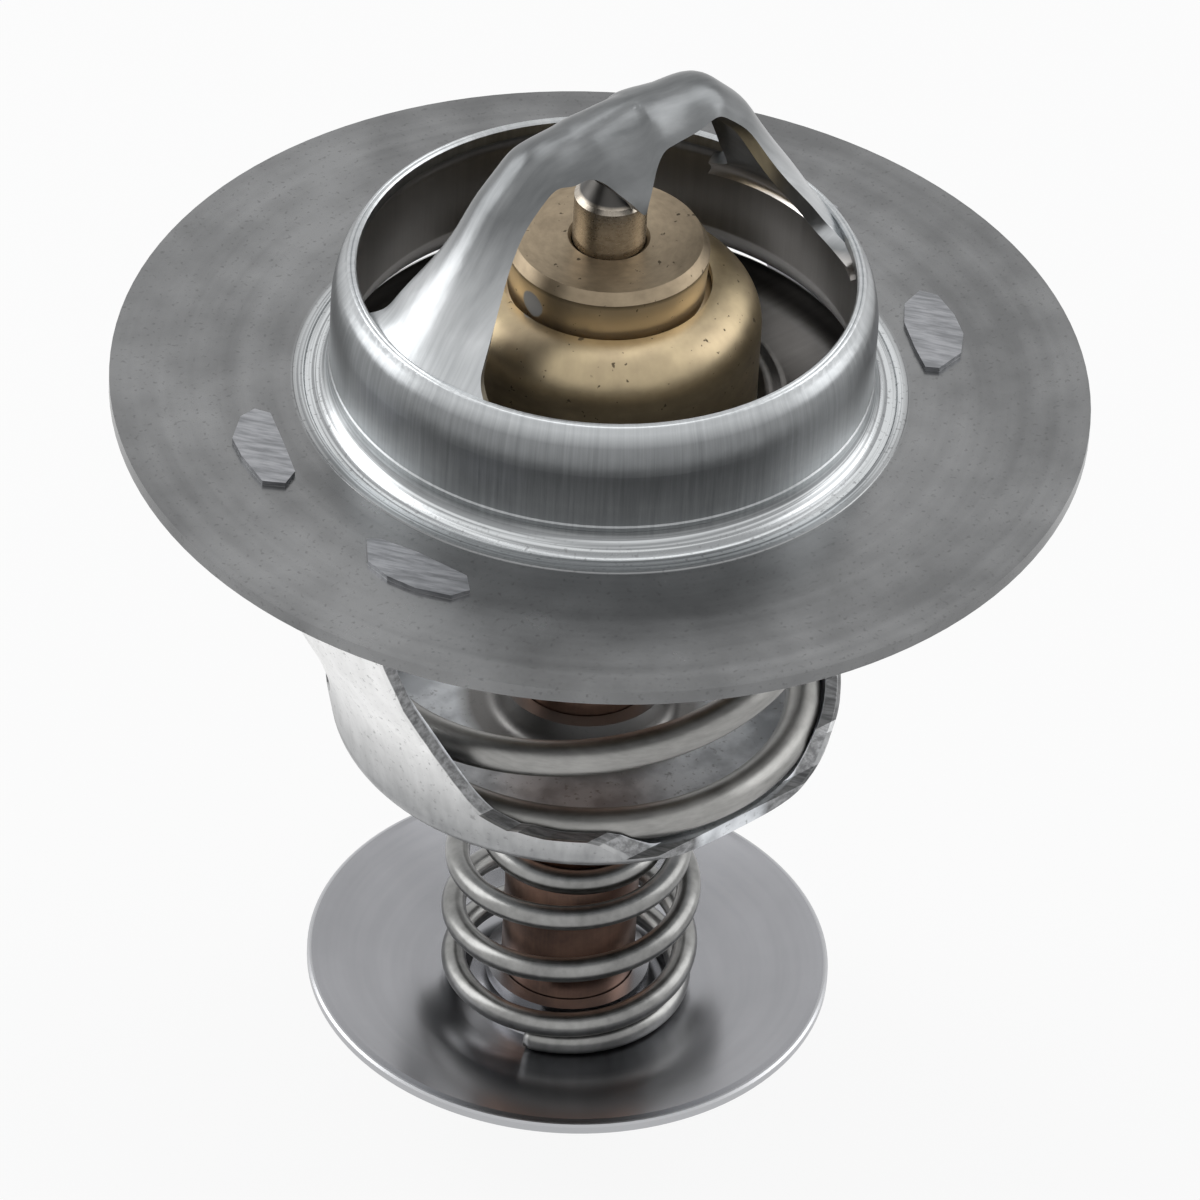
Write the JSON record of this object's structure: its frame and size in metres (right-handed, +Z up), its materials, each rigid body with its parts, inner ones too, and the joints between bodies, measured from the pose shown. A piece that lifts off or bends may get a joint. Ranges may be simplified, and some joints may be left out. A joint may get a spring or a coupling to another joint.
{
  "type": "engine thermostat",
  "caption": "Engine thermostat with a round flange, arched bridge, wax element, spring-loaded main valve, drawn lower frame and sprung bypass disc.",
  "frame": {"origin": "on the axis, at the underside of the bypass disc (lowest face of the part)", "axes": "+Z up along the axis towards the bridge, +X along the bridge and through both frame legs"},
  "size_m": [0.067, 0.067, 0.0783],
  "materials": {
    "drawn_steel": "satin drawn steel with soft streaks",
    "plated_steel": "pale dull plated steel",
    "pin_steel": "ground steel, warm tarnish",
    "spring_steel": "drawn wire, smooth",
    "dark_spring_steel": "drawn wire, dark",
    "brass": "turned, dulled",
    "brass_shell": "drawn and crimped, dulled",
    "copper": "drawn copper, darkened",
    "slip_plastic": "white low-friction plastic",
    "rubber": "matt",
    "wax": "copper-filled wax",
    "valve_steel": "bright rolled sheet",
    "disc_steel": "pressed sheet, satin"
  },
  "bodies": {
    "housing": {"flange_bridge": "drawn_steel", "lower_frame": "plated_steel", "piston_pin": "pin_steel", "main_spring": "spring_steel"},
    "element": {"guide_bush": "brass", "backup_ring": "slip_plastic", "crimp_shell": "brass_shell", "rubber_boot": "rubber", "wax_charge": "wax", "wax_cup": "copper", "valve_plate": "valve_steel", "snap_ring": "spring_steel", "bypass_spring": "dark_spring_steel"},
    "bypass": {"bypass_disc": "disc_steel"}
  },
  "joints": [
    {"name": "valve_lift", "type": "slide", "parent": "housing", "child": "element", "axis": [0, 0, -1], "range_m": [0, 0.0085], "stiffness_N_per_m": 7000, "springref_m": -0.0057, "deforming": ["main_spring"]},
    {"name": "bypass_slide", "type": "slide", "parent": "element", "child": "bypass", "axis": [0, 0, 1], "range_m": [0, 0.005], "stiffness_N_per_m": 8900, "springref_m": -0.0014, "deforming": ["bypass_spring"]}
  ]
}
